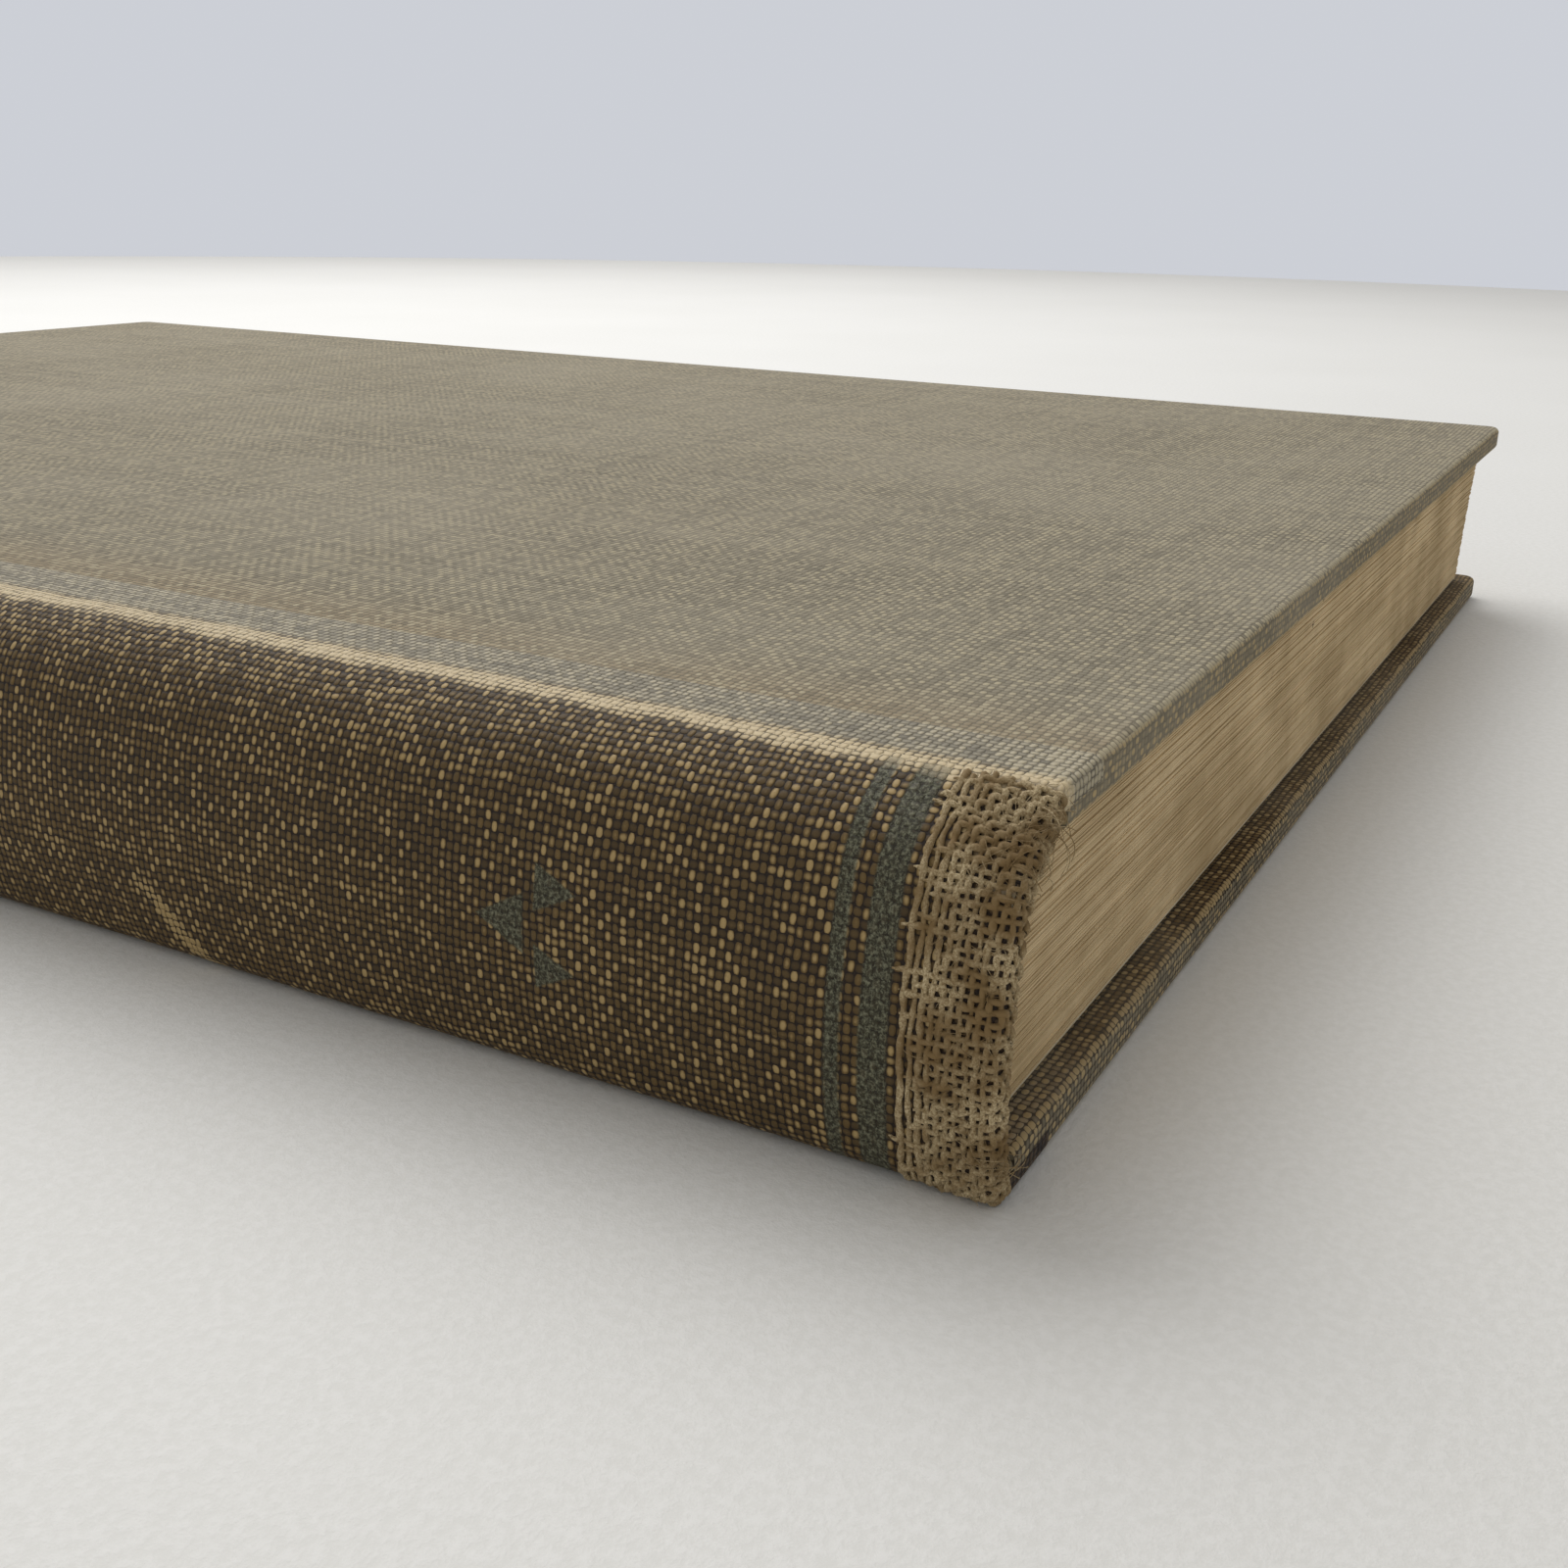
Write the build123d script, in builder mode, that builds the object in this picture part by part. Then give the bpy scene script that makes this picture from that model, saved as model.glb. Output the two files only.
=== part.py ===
"""A cloth-bound hardback book, lying on its back cover.

X runs from the spine to the fore edge, Y from the tail to the head, Z up through the thickness.
The origin is the middle of the book's footprint, on the surface that it lies on.
"""

import os
from math import atan2, degrees, sqrt

from build123d import *

os.makedirs("parts", exist_ok=True)

# Driving dimensions, in millimetres ------------------------------------------------------------

overall_width = 154.0        # back of the spine to the fore edge of the front cover
cover_height = 224.0         # tail to head, of both covers and of the case's spine
book_thickness = 20.0        # over both covers

board_thickness = 1.8        # millboard
cloth_thickness = 0.35       # coarse plain-woven book cloth
endpaper_thickness = 0.2     # each half of a folded endpaper
inlay_thickness = 0.6        # card strip in the case's spine
lining_thickness = 0.2       # paper over the mull
mull_thickness = 0.25        # open gauze

back_radius = 27.0           # the gently rounded back of the spine
belly_height = 8.0           # where the back stands out furthest, below the middle in a cocked book
front_shoulder_radius = 6.0  # where the back turns into the front cover
rear_shoulder_radius = 2.2   # where it turns into the back cover

square = 1.8                 # how far the covers stand past the leaves at head and tail
front_square = 1.2           # the same at the fore edge of the first leaf
fore_edge_lean = 4.2         # how much further back the last leaf lies than the first
fore_edge_hollow = 0.7       # depth of the hollow that the rounded back leaves in the fore edge
back_cover_setback = 1.5     # the back cover stops this much short of the front cover

turn_in = 15.0               # width of cloth folded over onto the inside of each board
pastedown_margin = 3.0       # cloth left showing round the pastedown
flyleaf_margin = 0.1         # the flyleaf is trimmed with the block, a hair inside it
mull_flange = 25.0           # width of gauze glued on each board
mull_end_gap = 2.0           # the gauze stops this far short of the turn-ins
inlay_foot = 2.4             # lower edge of the card strip
inlay_top = 16.6             # upper edge of the card strip

cover_corner_radius = 1.5    # cloth folded round a board's corner
cover_arris_radius = 0.6     # cloth folded round a board's edge

joint_gap = 0.3              # running clearance between a cover and what it hinges on
leaf_gap = 0.1               # air between a closed pastedown and its flyleaf

# Worked out from them --------------------------------------------------------------------------

spine_x = -overall_width / 2
front_fore_x = overall_width / 2
back_fore_x = front_fore_x - back_cover_setback
tail_y = -cover_height / 2
head_y = cover_height / 2

cover_thickness = cloth_thickness + board_thickness + cloth_thickness + endpaper_thickness
leaf_foot = cover_thickness + leaf_gap + endpaper_thickness
leaf_top = book_thickness - leaf_foot

# The back is three arcs, each tangent to the next: rear shoulder, back, front shoulder.
back_centre = (spine_x + back_radius, belly_height)


def shoulder_centre(radius, height):
    """Centre of a shoulder arc that touches the back's arc and a cover's outer face."""
    run = sqrt((back_radius - radius) ** 2 - (height - belly_height) ** 2)
    return (back_centre[0] - run, height)


front_shoulder = shoulder_centre(front_shoulder_radius, book_thickness - front_shoulder_radius)
rear_shoulder = shoulder_centre(rear_shoulder_radius, rear_shoulder_radius)
front_turn = degrees(atan2(front_shoulder[1] - belly_height, back_centre[0] - front_shoulder[0]))
rear_turn = degrees(atan2(belly_height - rear_shoulder[1], back_centre[0] - rear_shoulder[0]))

# Each cover hinges where the back's curve runs out into its outer face.
front_joint_x = front_shoulder[0]
back_joint_x = rear_shoulder[0]
inside_x = max(front_joint_x, back_joint_x) + front_shoulder_radius

inlay_depth = cloth_thickness
hollow_depth = inlay_depth + inlay_thickness
lining_depth = hollow_depth + cloth_thickness
mull_depth = lining_depth + lining_thickness
block_depth = mull_depth + mull_thickness

block_tail_y = tail_y + square
block_head_y = head_y - square
mull_tail_y = tail_y + turn_in + mull_end_gap
mull_head_y = head_y - turn_in - mull_end_gap


# Helpers ---------------------------------------------------------------------------------------

def section_at(y):
    """Plane across the book at a given place along the spine, facing the tail."""
    return Plane.XZ.offset(-y)


def within_back(depth):
    """Face of everything that lies a given depth or more inside the back's outer curve."""
    top = book_thickness - depth
    with BuildSketch(Plane.XY) as face:
        with BuildLine():
            CenterArc(front_shoulder, front_shoulder_radius - depth, 90, 90 - front_turn)
            CenterArc(back_centre, back_radius - depth, 180 - front_turn, front_turn + rear_turn)
            CenterArc(rear_shoulder, rear_shoulder_radius - depth, 180 + rear_turn, 90 - rear_turn)
            Polyline((back_joint_x, depth), (inside_x, depth), (inside_x, top), (front_joint_x, top))
        make_face()
    return face.sketch


def clear_of_covers(front_limit, rear_limit):
    """Cut a back section off at the two joints, above one height and below another."""
    with Locations((front_joint_x, front_limit)):
        Rectangle(overall_width, book_thickness, align=Align.MIN, mode=Mode.SUBTRACT)
    with Locations((back_joint_x, rear_limit)):
        Rectangle(overall_width, book_thickness, align=(Align.MIN, Align.MAX), mode=Mode.SUBTRACT)


def back_layer(outer_depth, inner_depth):
    """Section of one layer that follows the back from joint to joint."""
    add(within_back(outer_depth))
    add(within_back(inner_depth), mode=Mode.SUBTRACT)
    clear_of_covers(book_thickness / 2, book_thickness / 2)


def slab(x_range, y_range, z_range, mode=Mode.ADD):
    """A plate between two values on each axis, whichever of a pair comes first."""
    ranges = (x_range, y_range, z_range)
    with Locations(tuple((start + end) / 2 for start, end in ranges)):
        Box(*(abs(end - start) for start, end in ranges), mode=mode)


def save(piece, name):
    """Label a finished piece and write it."""
    piece.part.label = name
    export_step(piece.part, f"parts/{name}.step")


# Text block ------------------------------------------------------------------------------------

leaf_top_x = front_fore_x - front_square
leaf_foot_x = leaf_top_x - fore_edge_lean
leaf_middle = ((leaf_top_x + leaf_foot_x) / 2 - fore_edge_hollow, book_thickness / 2)

with BuildPart() as text_block:
    with BuildSketch(section_at(block_head_y)):
        # the backed spine edge, whose shoulders stand up beside the boards
        add(within_back(block_depth))
        clear_of_covers(leaf_top, leaf_foot)
        # the leaves, whose fore edge leans and is hollowed as the back is rounded
        with BuildLine():
            ThreePointArc((leaf_foot_x, leaf_foot), leaf_middle, (leaf_top_x, leaf_top))
            Polyline(
                (leaf_top_x, leaf_top),
                (front_joint_x, leaf_top),
                (front_joint_x, leaf_foot),
                (leaf_foot_x, leaf_foot),
            )
        make_face()
    extrude(amount=block_head_y - block_tail_y)
save(text_block, "text_block")

# Layers over the back of the block -------------------------------------------------------------

with BuildPart() as spine_mull:
    with BuildSketch(section_at(mull_head_y)):
        back_layer(mull_depth, block_depth)
    extrude(amount=mull_head_y - mull_tail_y)
save(spine_mull, "spine_mull")

with BuildPart() as spine_lining:
    with BuildSketch(section_at(mull_head_y)):
        back_layer(lining_depth, mull_depth)
    extrude(amount=mull_head_y - mull_tail_y)
save(spine_lining, "spine_lining")

# Spine of the case -----------------------------------------------------------------------------

with BuildPart() as spine_inlay:
    with BuildSketch(section_at(head_y - cloth_thickness)):
        back_layer(inlay_depth, hollow_depth)
        with Locations((spine_x, inlay_foot)):
            Rectangle(inside_x - spine_x, inlay_top - inlay_foot, align=Align.MIN, mode=Mode.INTERSECT)
    extrude(amount=cover_height - 2 * cloth_thickness)
save(spine_inlay, "spine_inlay")

with BuildPart() as spine_cloth:
    with BuildSketch(section_at(head_y)):
        back_layer(0, inlay_depth)
    extrude(amount=cover_height)
    for turn_head_y, turn_length, fold_y in (
        (head_y, turn_in, head_y),
        (tail_y + turn_in, turn_in, tail_y + cloth_thickness),
    ):
        # the strip turned in behind the card strip
        with BuildSketch(section_at(turn_head_y)):
            back_layer(hollow_depth, lining_depth)
        extrude(amount=turn_length)
        # the fold over the card strip's end
        with BuildSketch(section_at(fold_y)):
            back_layer(inlay_depth, hollow_depth)
        extrude(amount=cloth_thickness)
save(spine_cloth, "spine_cloth")


# Covers ----------------------------------------------------------------------------------------

def make_cover(side, joint_x, fore_x, outer_z, inward):
    """Board, cloth, mull flange and pastedown of one cover, built from its outer face inwards."""
    hinge_x = joint_x + joint_gap
    board_outer = outer_z + inward * cloth_thickness
    board_inner = board_outer + inward * board_thickness
    turn_face = board_inner + inward * cloth_thickness
    inner_face = turn_face + inward * endpaper_thickness
    flange_face = board_inner + inward * mull_thickness
    board_x = (hinge_x, fore_x - cloth_thickness)
    board_y = (tail_y + cloth_thickness, head_y - cloth_thickness)
    window_x = (hinge_x, fore_x - turn_in)
    window_y = (tail_y + turn_in, head_y - turn_in)
    flange_x = (hinge_x, hinge_x + mull_flange)
    board_corner = cover_corner_radius - cloth_thickness
    board_arris = cover_arris_radius - cloth_thickness

    with BuildPart() as board:
        slab(board_x, board_y, (board_outer, board_inner))
        fillet(board.edges().filter_by(Axis.Z).group_by(Axis.X)[-1], board_corner)
        open_edges = board.edges().filter_by_position(Axis.X, hinge_x + 1, fore_x)
        fillet(open_edges.filter_by(Axis.Z, reverse=True), board_arris)
    save(board, f"{side}_board")

    with BuildPart() as cloth:
        slab((hinge_x, fore_x), (tail_y, head_y), (outer_z, turn_face))
        fillet(cloth.edges().filter_by(Axis.Z).group_by(Axis.X)[-1], cover_corner_radius)
        open_edges = cloth.edges().filter_by_position(Axis.X, hinge_x + 1, fore_x)
        fillet(open_edges.filter_by(Axis.Z, reverse=True), cover_arris_radius)
        add(board.part, mode=Mode.SUBTRACT)
        slab(window_x, window_y, (board_inner, turn_face), mode=Mode.SUBTRACT)
    save(cloth, f"{side}_cover_cloth")

    with BuildPart() as flange:
        slab(flange_x, (mull_tail_y, mull_head_y), (board_inner, flange_face))
    save(flange, f"{side}_mull_flange")

    with BuildPart() as pastedown:
        paste_x = (hinge_x, fore_x - pastedown_margin)
        paste_y = (tail_y + pastedown_margin, head_y - pastedown_margin)
        slab(paste_x, paste_y, (turn_face, inner_face))
        # pressed down between the turn-ins, over the flange
        slab(window_x, window_y, (board_inner, turn_face))
        add(flange.part, mode=Mode.SUBTRACT)
    save(pastedown, f"{side}_pastedown")


def make_flyleaf(side, joint_x, leaf_x, block_z, outward):
    """The free half of an endpaper, lying on the block."""
    with BuildPart() as flyleaf:
        leaf_y = (block_tail_y + flyleaf_margin, block_head_y - flyleaf_margin)
        leaf_z = (block_z, block_z + outward * endpaper_thickness)
        slab((joint_x + joint_gap, leaf_x - flyleaf_margin), leaf_y, leaf_z)
    save(flyleaf, f"{side}_flyleaf")


make_cover("front", front_joint_x, front_fore_x, book_thickness, -1)
make_cover("back", back_joint_x, back_fore_x, 0, 1)
make_flyleaf("front", front_joint_x, leaf_top_x, leaf_top, 1)
make_flyleaf("back", back_joint_x, leaf_foot_x, leaf_foot, -1)
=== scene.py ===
# %% [markdown]
# # A worn, cloth-bound hardback book
# The construction comes in as a fixed frame: boards, endpapers, block and the bodies that hinge.
# This lesson adds what the eye reads: woven cloth over the joints, frayed threads at the
# foot of the spine, and a block whose edges are made of leaves.

# %% Load the frame
import math

import bpy
import numpy as np
from mathutils import Matrix, Vector


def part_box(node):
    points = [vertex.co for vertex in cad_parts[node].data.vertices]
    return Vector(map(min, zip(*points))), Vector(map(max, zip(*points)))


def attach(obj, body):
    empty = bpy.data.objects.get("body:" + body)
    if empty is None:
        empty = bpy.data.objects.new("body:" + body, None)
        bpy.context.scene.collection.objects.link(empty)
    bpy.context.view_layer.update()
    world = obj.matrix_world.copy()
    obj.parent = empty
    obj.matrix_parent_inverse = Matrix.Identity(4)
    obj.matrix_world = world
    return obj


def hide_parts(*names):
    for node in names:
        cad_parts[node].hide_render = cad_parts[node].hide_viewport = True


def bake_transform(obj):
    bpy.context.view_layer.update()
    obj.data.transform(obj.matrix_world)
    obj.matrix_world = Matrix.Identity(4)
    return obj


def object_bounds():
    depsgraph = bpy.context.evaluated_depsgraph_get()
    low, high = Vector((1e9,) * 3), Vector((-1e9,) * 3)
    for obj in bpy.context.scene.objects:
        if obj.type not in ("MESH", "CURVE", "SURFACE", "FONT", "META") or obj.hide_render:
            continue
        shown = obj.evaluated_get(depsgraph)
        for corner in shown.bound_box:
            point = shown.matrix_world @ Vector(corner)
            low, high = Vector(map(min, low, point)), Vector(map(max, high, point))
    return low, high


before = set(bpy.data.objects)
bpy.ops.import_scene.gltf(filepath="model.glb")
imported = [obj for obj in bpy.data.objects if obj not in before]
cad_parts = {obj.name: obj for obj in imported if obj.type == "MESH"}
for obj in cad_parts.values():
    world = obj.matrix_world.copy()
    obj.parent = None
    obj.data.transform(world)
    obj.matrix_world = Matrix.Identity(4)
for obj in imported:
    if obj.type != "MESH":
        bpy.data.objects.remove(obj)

MM = 0.001
cad_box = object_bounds()
print("frame box in mm:", [round(value / MM, 1) for corner in cad_box for value in corner])

# %% [markdown]
# ## Where things are
# The spine's curve is three arcs, each tangent to the next: front shoulder, back, rear shoulder.
# Everything on it is placed by two distances that a binder would use: along the cloth round the
# spine, counted from the front joint, and along the book from its tail.

# %% Named places
tail_y, head_y = cad_box[0][1], cad_box[1][1]
thickness = cad_box[1][2]
# sizes of the construction: what is drawn here has to lie on the same three arcs
back_radius = 27.0 * MM
belly_height = 8.0 * MM
front_shoulder_radius = 6.0 * MM
rear_shoulder_radius = 2.2 * MM
cloth_thickness = 0.35 * MM
end_fold_radius = 0.6 * MM
end_fold_depth = 1.25 * MM
spine_x = -77.0 * MM  # the outermost line of the back, which a mesh of flats falls just short of
back_centre_x = spine_x + back_radius


def shoulder_x(radius, height):
    """Where a shoulder arc's centre lies, and so where its cover's flat face begins."""
    return back_centre_x - math.sqrt((back_radius - radius) ** 2 - (height - belly_height) ** 2)


front_joint_x = shoulder_x(front_shoulder_radius, thickness - front_shoulder_radius)
back_joint_x = shoulder_x(rear_shoulder_radius, rear_shoulder_radius)
front_rise = thickness - front_shoulder_radius - belly_height
front_turn = math.atan2(front_rise, back_centre_x - front_joint_x)
rear_turn = math.atan2(belly_height - rear_shoulder_radius, back_centre_x - back_joint_x)
front_run = front_shoulder_radius * (math.pi / 2 - front_turn)
back_run = back_radius * (front_turn + rear_turn)
rear_run = rear_shoulder_radius * (math.pi / 2 - rear_turn)
whole_run = front_run + back_run + rear_run
print("cloth round the spine, mm:", round(whole_run / MM, 2))


# %% [markdown]
# ## One function for the cloth's surface
# A sheet could be drawn point by point. A function is better: threads, frays and the sheet itself
# can all ask it for a place, so they always fit each other.

# %% Points on the case's cloth
def round_spine(along):
    """Point and outward normal in X and Z, at a distance round the spine from the front joint."""
    along = np.asarray(along, float)
    down = -along
    angle = np.where(
        down < front_run,
        math.pi / 2 + down / front_shoulder_radius,
        np.where(
            down < front_run + back_run,
            math.pi - front_turn + (down - front_run) / back_radius,
            math.pi + rear_turn + (down - front_run - back_run) / rear_shoulder_radius,
        ),
    )
    angle = np.clip(angle, math.pi / 2, 1.5 * math.pi)
    on_front = down < front_run
    on_back = (down >= front_run) & (down < front_run + back_run)
    radius = np.where(on_front, front_shoulder_radius, np.where(on_back, back_radius, rear_shoulder_radius))
    centre_x = np.where(on_front, front_joint_x, np.where(on_back, back_centre_x, back_joint_x))
    centre_z = np.where(
        on_front, thickness - front_shoulder_radius, np.where(on_back, belly_height, rear_shoulder_radius)
    )
    normal_x, normal_z = np.cos(angle), np.sin(angle)
    x = centre_x + radius * normal_x + np.maximum(along, 0) + np.maximum(down - whole_run, 0)
    z = centre_z + radius * normal_z
    return x, z, normal_x, normal_z


fold_wall = end_fold_depth - end_fold_radius
fold_length = fold_wall + end_fold_radius * math.pi / 2


def along_book(way):
    """Distance from the end, depth, and the outward normal's two parts, at a way along the cloth.

    The way starts inside the fold at the tail, climbs it, and then runs towards the head."""
    way = np.asarray(way, float)
    turn = np.clip((way - fold_wall) / end_fold_radius, 0, math.pi / 2)
    from_end = end_fold_radius - end_fold_radius * np.cos(turn)
    depth = end_fold_radius - end_fold_radius * np.sin(turn) + np.maximum(fold_wall - way, 0)
    from_end = from_end + np.maximum(way - fold_length, 0)
    return from_end, depth, np.cos(turn), np.sin(turn)


def hollow(along, from_tail, middle, width, length):
    """A smooth dent near the tail, 1 at its deepest."""
    return np.exp(-(from_tail / length) ** 2) * np.exp(-((along + middle) / width) ** 2)


def lumps(along, y):
    """Small unevenness of old cloth over card, in metres, inwards where it is negative."""
    wave = (
        np.sin(along * 410 + y * 95)
        + np.sin(along * 233 - y * 171 + 1.3)
        + np.sin(along * 620 + y * 320 + 0.4) * 0.6
    )
    crushed_shoulder = hollow(along, y - tail_y, 2.5 * MM, 3.5 * MM, 7 * MM)
    sunk_mouth = hollow(along, y - tail_y, 9 * MM, 5 * MM, 3 * MM)
    return (0.035 * wave - 0.1 - 0.75 * crushed_shoulder - 0.08 * sunk_mouth) * MM


half_length = (head_y - tail_y) / 2 - end_fold_radius + fold_length
ease_length = 3 * MM  # the unevenness dies away this near to a joint


def cloth_point(along, way, lift=0.0):
    """Place on the case cloth, raised along its normal. The way runs from one end to the other."""
    along, way = np.broadcast_arrays(np.asarray(along, float), np.asarray(way, float))
    from_head = way > half_length
    own_way = np.where(from_head, 2 * half_length - way, way)
    from_end, depth, end_part, face_part = along_book(own_way)
    y = np.where(from_head, head_y - from_end, tail_y + from_end)
    x, z, normal_x, normal_z = round_spine(along)
    near_front = np.clip(-along / ease_length, 0, 1)
    near_back = np.clip((whole_run + along) / ease_length, 0, 1)
    stand = lumps(along, y) * near_front * near_back - depth + lift * face_part
    y = y + lift * end_part * np.where(from_head, 1, -1)
    return np.stack([x + normal_x * stand, y, z + normal_z * stand], axis=-1)


# %% [markdown]
# ## A small workshop
# Three helpers keep the rest short: one turns arrays into a mesh with its thread coordinates, one lists
# the quads of a grid, and one lists the faces of a closed sheet, with an outer face, an inner face and
# a rim.

# %% Mesh helpers
def make_mesh(name, points, faces, threads=None, smooth=True):
    """A mesh object at the origin, with an optional thread coordinate for each point."""
    mesh = bpy.data.meshes.new(name)
    mesh.from_pydata(points.reshape(-1, 3).tolist(), [], np.asarray(faces).tolist())
    if threads is not None:
        layer = mesh.uv_layers.new(name="threads")
        corners = np.zeros(len(mesh.loops), np.int32)
        mesh.loops.foreach_get("vertex_index", corners)
        layer.data.foreach_set("uv", threads.reshape(-1, 2)[corners].astype(np.float32).ravel())
    mesh.polygons.foreach_set("use_smooth", [smooth] * len(mesh.polygons))
    mesh.validate()
    made = bpy.data.objects.new(name, mesh)
    bpy.context.scene.collection.objects.link(made)
    return made


def grid_faces(rows, columns, start=0, flip=False):
    """Quads between neighbouring points of a grid stored row by row."""
    row, column = np.meshgrid(np.arange(rows - 1), np.arange(columns - 1), indexing="ij")
    corner = (start + row * columns + column).ravel()
    faces = np.stack([corner, corner + 1, corner + columns + 1, corner + columns], axis=1)
    return faces[:, ::-1] if flip else faces


def sheet_between(outer, inner):
    """Closed faces for two grids of the same size, one over the other."""
    rows, columns = outer.shape[:2]
    count = rows * columns
    index = np.arange(count).reshape(rows, columns)
    rim = np.concatenate([index[0, :-1], index[:-1, -1], index[-1, :0:-1], index[:0:-1, 0]])
    after = np.roll(rim, -1)
    walls = np.stack([rim, rim + count, after + count, after], axis=1)
    faces = np.concatenate([grid_faces(rows, columns), grid_faces(rows, columns, count, True), walls])
    return faces


# %% [markdown]
# ## The weave
# More than one material needs the weave, so it is a node group with named sockets. It is arithmetic,
# not a picture: the cloth is cut into cells, one for each crossing, and every other cell shows the
# thread that runs the other way. Shade is painted into it: the recesses between threads and the lower
# threads that run round the spine are darker.

# %% Node helpers
def add_node(tree, kind, inputs=None, **settings):
    """A node with its settings, its plain values and its links made in one go."""
    made = tree.nodes.new(kind)
    for name, value in settings.items():
        setattr(made, name, value)
    for key, value in (inputs or {}).items():
        if isinstance(value, bpy.types.NodeSocket):
            tree.links.new(value, made.inputs[key])
        else:
            made.inputs[key].default_value = value
    return made


def calc(tree, operation, *values, clamp=False):
    """The result of one Math node."""
    inputs = dict(enumerate(values))
    return add_node(tree, "ShaderNodeMath", inputs, operation=operation, use_clamp=clamp).outputs[0]


def ramp(tree, value, low, high):
    """0 below one value, 1 above another, smooth between. The two may be the other way round."""
    inputs = {"Value": value, "From Min": low, "From Max": high}
    return add_node(tree, "ShaderNodeMapRange", inputs, interpolation_type="SMOOTHSTEP").outputs[0]


def blend_colours(tree, share, first, second):
    """A colour between two."""
    inputs = {0: share, 6: first, 7: second}
    return add_node(tree, "ShaderNodeMix", inputs, data_type="RGBA").outputs[2]


def noise(tree, where, scale, detail=2.0, roughness=0.5):
    """A soft random value over a place in metres; the scale is in waves per metre."""
    inputs = {"Vector": where, "Scale": scale, "Detail": detail, "Roughness": roughness}
    return add_node(tree, "ShaderNodeTexNoise", inputs).outputs[0]


def new_group(name, inputs, outputs):
    """An empty shader group with named sockets, and its two end nodes."""
    group = bpy.data.node_groups.new(name, "ShaderNodeTree")
    for socket_name, kind, value in inputs:
        socket = group.interface.new_socket(socket_name, in_out="INPUT", socket_type=kind)
        if value is not None:
            socket.default_value = value
    for socket_name, kind in outputs:
        group.interface.new_socket(socket_name, in_out="OUTPUT", socket_type=kind)
    return group, group.nodes.new("NodeGroupInput").outputs, group.nodes.new("NodeGroupOutput")


def linear(red, green, blue):
    """A colour read off a paint card, from 0 to 255, as Blender's linear colour."""
    return tuple((value / 255) ** 2.2 for value in (red, green, blue)) + (1.0,)


# %% The weave
thread_pitch_round = 0.533 * MM
thread_pitch_along = 0.468 * MM

weave, weave_in, weave_out = new_group(
    "plain weave",
    [
        ("Threads", "NodeSocketVector", None),
        ("Wear", "NodeSocketFloat", 0.2),
        ("Thread Colour", "NodeSocketColor", (0.1, 0.07, 0.03, 1)),
        ("Rubbed Colour", "NodeSocketColor", (0.4, 0.3, 0.2, 1)),
        # painted shade: the colour a thread falls to in the recesses between threads
        ("Recess Colour", "NodeSocketColor", (0.01, 0.01, 0.01, 1)),
        # painted shade: how dark the lower threads that run round the spine are painted
        ("Cross Shade", "NodeSocketFloat", 0.6),
    ],
    [("Color", "NodeSocketColor"), ("Height", "NodeSocketFloat"), ("Rubbed", "NodeSocketFloat")],
)
split = add_node(weave, "ShaderNodeSeparateXYZ", {0: weave_in["Threads"]}).outputs
drift = calc(weave, "SUBTRACT", noise(weave, weave_in["Threads"], 160, 3), 0.5)
sway = calc(weave, "SUBTRACT", noise(weave, weave_in["Threads"], 900, 1), 0.5)
across = calc(weave, "DIVIDE", split[0], thread_pitch_round)
across = calc(weave, "MULTIPLY_ADD", drift, 1.3, calc(weave, "MULTIPLY_ADD", sway, 0.35, across))
lengthwise = calc(weave, "DIVIDE", split[1], thread_pitch_along)
lengthwise = calc(weave, "MULTIPLY_ADD", drift, -1.1, calc(weave, "MULTIPLY_ADD", sway, -0.3, lengthwise))
cell_across = calc(weave, "FLOOR", across)
cell_lengthwise = calc(weave, "FLOOR", lengthwise)
part_across = calc(weave, "FRACT", across)
part_lengthwise = calc(weave, "FRACT", lengthwise)
turn_over = calc(weave, "FLOORED_MODULO", calc(weave, "ADD", cell_across, cell_lengthwise), 2.0)
swap = calc(weave, "SUBTRACT", part_lengthwise, part_across)
over_width = calc(weave, "MULTIPLY_ADD", turn_over, swap, part_across)
over_run = calc(weave, "MULTIPLY_ADD", turn_over, calc(weave, "MULTIPLY", swap, -1.0), part_lengthwise)
off_width = calc(weave, "MULTIPLY_ADD", over_width, 2.0, -1.0)
off_run = calc(weave, "MULTIPLY_ADD", over_run, 2.0, -1.0)
oval = calc(weave, "MULTIPLY", calc(weave, "MULTIPLY", off_width, off_width), 1.2)
oval = calc(weave, "MULTIPLY_ADD", calc(weave, "MULTIPLY", off_run, off_run), 0.62, oval)
crown = calc(weave, "SQRT", calc(weave, "SUBTRACT", 1.0, oval, clamp=True))
cells = add_node(weave, "ShaderNodeCombineXYZ", {0: cell_across, 1: cell_lengthwise}).outputs[0]
chance = add_node(weave, "ShaderNodeTexWhiteNoise", {0: cells}, noise_dimensions="2D").outputs[0]
lane_swap = calc(weave, "SUBTRACT", cell_lengthwise, cell_across)
lane = calc(weave, "MULTIPLY_ADD", turn_over, lane_swap, cell_across)
lane = calc(weave, "MULTIPLY_ADD", turn_over, 517.3, lane)
thread_chance = add_node(weave, "ShaderNodeTexWhiteNoise", {1: lane}, noise_dimensions="1D").outputs[0]
fibre = noise(weave, weave_in["Threads"], 7000, 2, 0.6)
height = calc(weave, "MULTIPLY", crown, calc(weave, "MULTIPLY_ADD", thread_chance, 0.3, 0.8))
height = calc(weave, "MULTIPLY_ADD", calc(weave, "SUBTRACT", fibre, 0.5), 0.22, height)
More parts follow.
